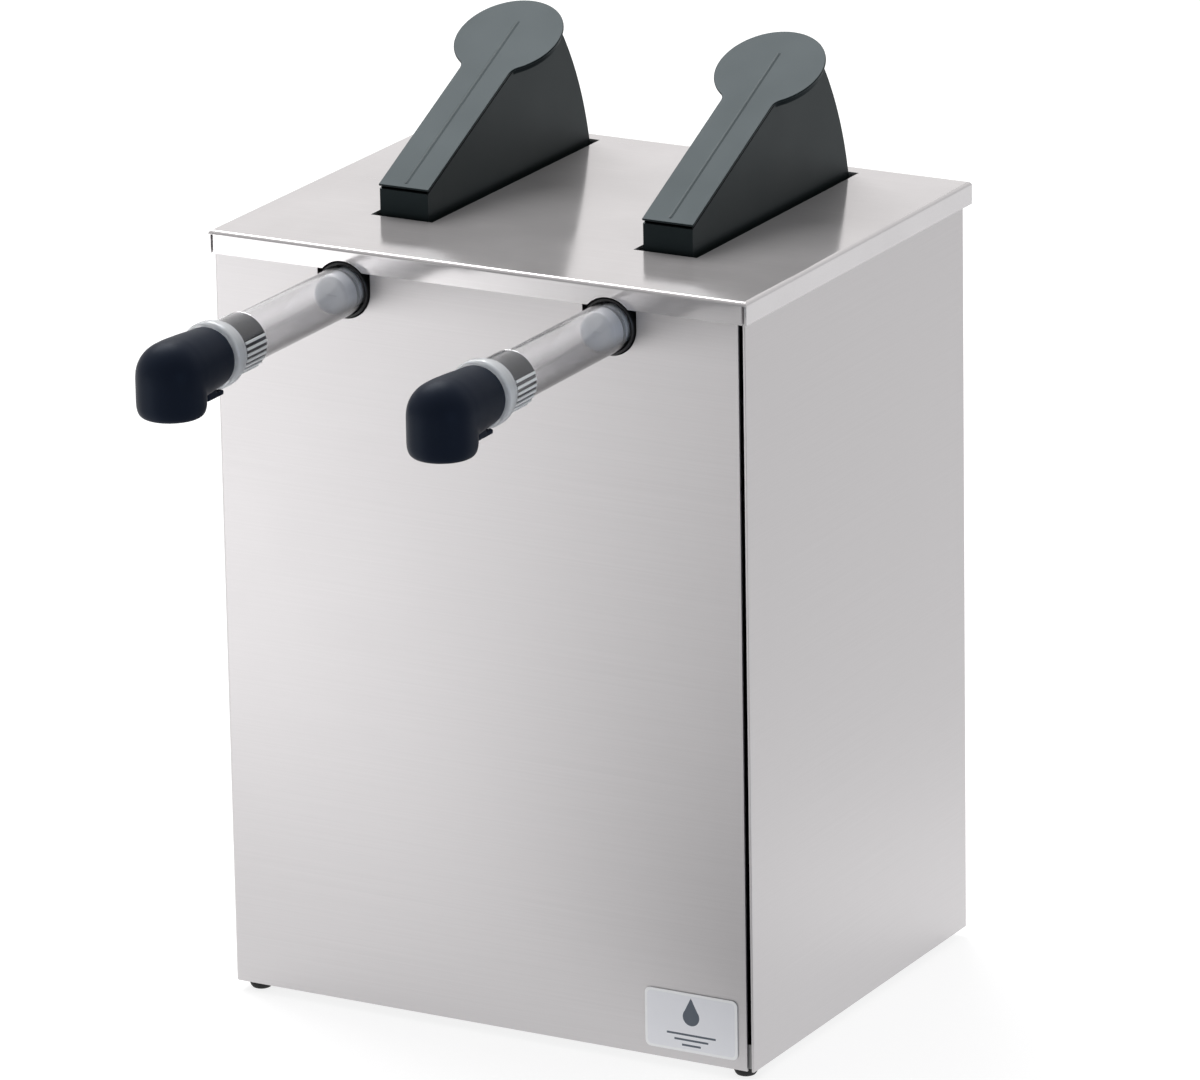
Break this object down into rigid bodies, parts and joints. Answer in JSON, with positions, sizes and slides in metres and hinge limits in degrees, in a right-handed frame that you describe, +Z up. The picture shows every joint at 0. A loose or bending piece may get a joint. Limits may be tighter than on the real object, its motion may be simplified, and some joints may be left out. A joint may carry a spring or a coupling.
{
  "type": "condiment pump dispenser",
  "caption": "Countertop steel case with a lift-off lid and lever pumps that push condiment through clear tubes to down-turned spouts.",
  "frame": {"origin": "middle of the whole footprint, spout tips to the lid's rear edge, on the counter surface under the feet", "axes": "+Z up, +X to the right as the server faces the spouts, -Y towards the spouts and the server"},
  "size_m": [0.2854, 0.3992, 0.4556],
  "materials": {
    "case_steel": "fine brushed stainless steel",
    "lid_steel": "fine brushed stainless steel, bent edges brighter",
    "inner_steel": "mill-finish stainless steel",
    "pin_steel": "ground stainless steel",
    "spring_steel": "drawn stainless wire",
    "lever_plastic": "fine-textured slate black moulding",
    "pump_black": "black moulding",
    "spout_black": "satin black moulding",
    "clear_plastic": "clear moulding",
    "white_plastic": "white moulding",
    "seal_silicone": "translucent grey silicone",
    "foot_rubber": "black moulded rubber",
    "label_film": null
  },
  "bodies": {
    "case": {"front_left_panel": "case_steel", "rear_right_panel": "case_steel", "base_tray": "inner_steel", "lid": "lid_steel", "pump_shelf": "inner_steel", "pouch_divider": "inner_steel", "front_label": "label_film", "foot_front_left": "foot_rubber", "foot_front_right": "foot_rubber", "foot_rear_left": "foot_rubber", "foot_rear_right": "foot_rubber", "pump_body_left": "pump_black", "cylinder_cap_left": "white_plastic", "lever_pivot_pin_left": "pin_steel", "return_spring_left": "spring_steel", "suction_fitting_left": "white_plastic", "fitting_seal_left": "seal_silicone", "discharge_valve_left": "white_plastic", "tube_seal_left": "seal_silicone", "discharge_tube_left": "clear_plastic", "spout_collar_left": "clear_plastic", "spout_ring_left": "clear_plastic", "spout_left": "spout_black", "spout_valve_left": "seal_silicone", "pump_body_right": "pump_black", "cylinder_cap_right": "white_plastic", "lever_pivot_pin_right": "pin_steel", "return_spring_right": "spring_steel", "suction_fitting_right": "white_plastic", "fitting_seal_right": "seal_silicone", "discharge_valve_right": "white_plastic", "tube_seal_right": "seal_silicone", "discharge_tube_right": "clear_plastic", "spout_collar_right": "clear_plastic", "spout_ring_right": "clear_plastic", "spout_right": "spout_black", "spout_valve_right": "seal_silicone"},
    "lever_left": {"pump_lever_left": "lever_plastic"},
    "plunger_left": {"plunger_left": "white_plastic", "plunger_seal_left": "seal_silicone", "plunger_pin_left": "pin_steel"},
    "ball_left": {"inlet_ball_left": "pin_steel"},
    "lever_right": {"pump_lever_right": "lever_plastic"},
    "plunger_right": {"plunger_right": "white_plastic", "plunger_seal_right": "seal_silicone", "plunger_pin_right": "pin_steel"},
    "ball_right": {"inlet_ball_right": "pin_steel"}
  },
  "joints": [
    {"name": "lever_press_left", "type": "hinge", "parent": "case", "child": "lever_left", "pos_m": [-0.0705, 0.0321, 0.35], "axis": [-1, 0, 0], "range_deg": [0, 22], "stiffness_Nm_per_rad": 2.9, "springref_deg": -17.76},
    {"name": "plunger_travel_left", "type": "slide", "parent": "case", "child": "plunger_left", "axis": [0, 0, -1], "range_m": [0, 0.035], "deforming": ["return_spring_left"]},
    {"name": "inlet_ball_lift_left", "type": "slide", "parent": "case", "child": "ball_left", "axis": [0, 0, 1], "range_m": [0, 0.003]},
    {"name": "lever_press_right", "type": "hinge", "parent": "case", "child": "lever_right", "pos_m": [0.0705, 0.0321, 0.35], "axis": [-1, 0, 0], "range_deg": [0, 22], "stiffness_Nm_per_rad": 2.9, "springref_deg": -17.76},
    {"name": "plunger_travel_right", "type": "slide", "parent": "case", "child": "plunger_right", "axis": [0, 0, -1], "range_m": [0, 0.035], "deforming": ["return_spring_right"]},
    {"name": "inlet_ball_lift_right", "type": "slide", "parent": "case", "child": "ball_right", "axis": [0, 0, 1], "range_m": [0, 0.003]}
  ],
  "couplings": [
    {"joint": "plunger_travel_left", "follows": "lever_press_left", "m_per_rad": 0.0911},
    {"joint": "plunger_travel_right", "follows": "lever_press_right", "m_per_rad": 0.0911}
  ]
}
